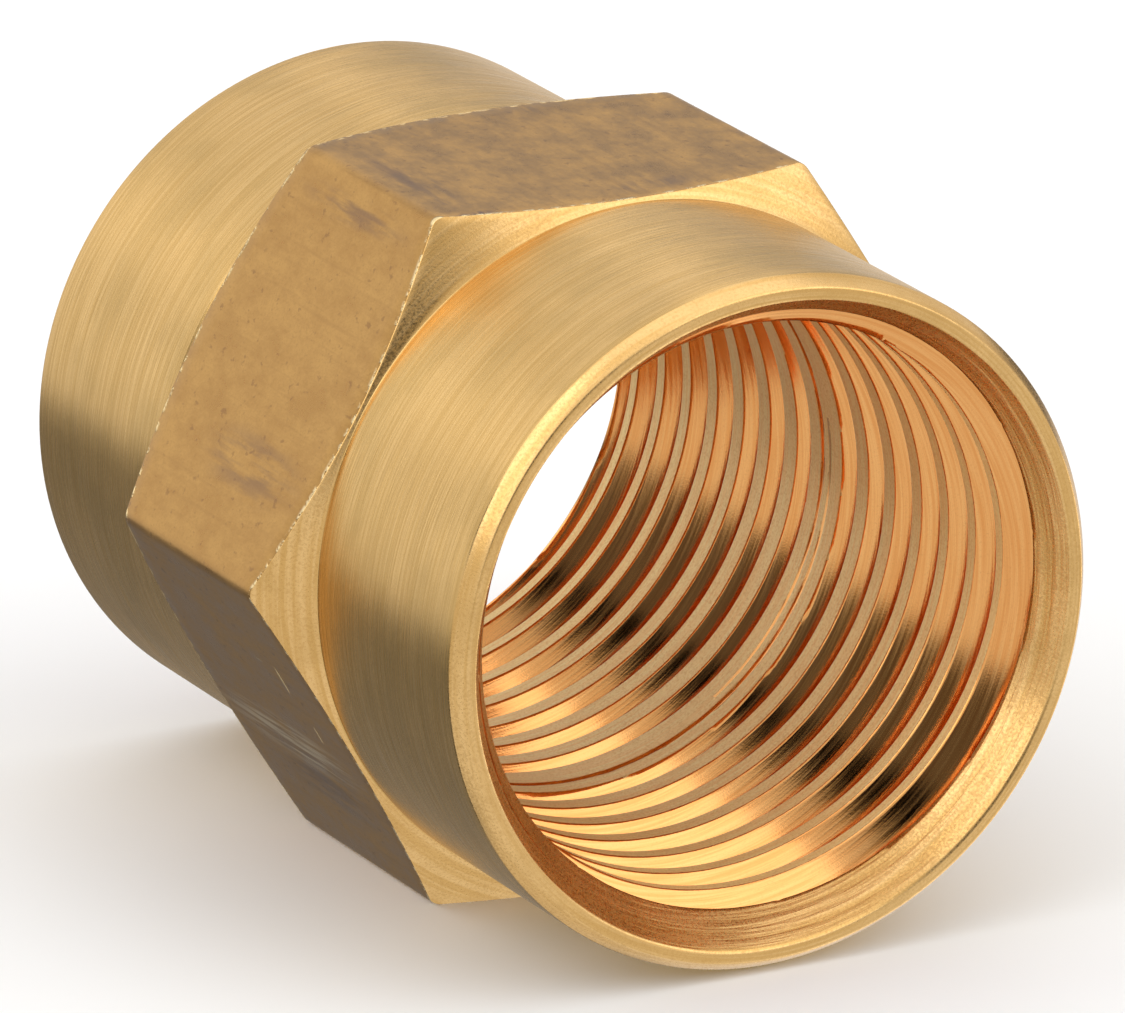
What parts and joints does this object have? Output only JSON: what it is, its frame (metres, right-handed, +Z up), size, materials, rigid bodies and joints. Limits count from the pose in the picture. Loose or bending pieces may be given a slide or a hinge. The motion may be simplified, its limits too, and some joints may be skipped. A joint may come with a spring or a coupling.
{
  "type": "hex pipe coupling",
  "caption": "Brass hex pipe coupling with a tapered female pipe thread in each end, turned from hexagon bar.",
  "frame": {"origin": "centre of the coupling, on the thread axis at mid-length", "axes": "+Y along the thread axis towards the rear mouth, +Z up, square to the two level hex flats"},
  "size_m": [0.0274, 0.0306, 0.0238],
  "materials": {
    "brass": "satin turned brass with dull drawn-bar flats"
  },
  "bodies": {
    "root": {"coupling_body": "brass"}
  },
  "joints": []
}
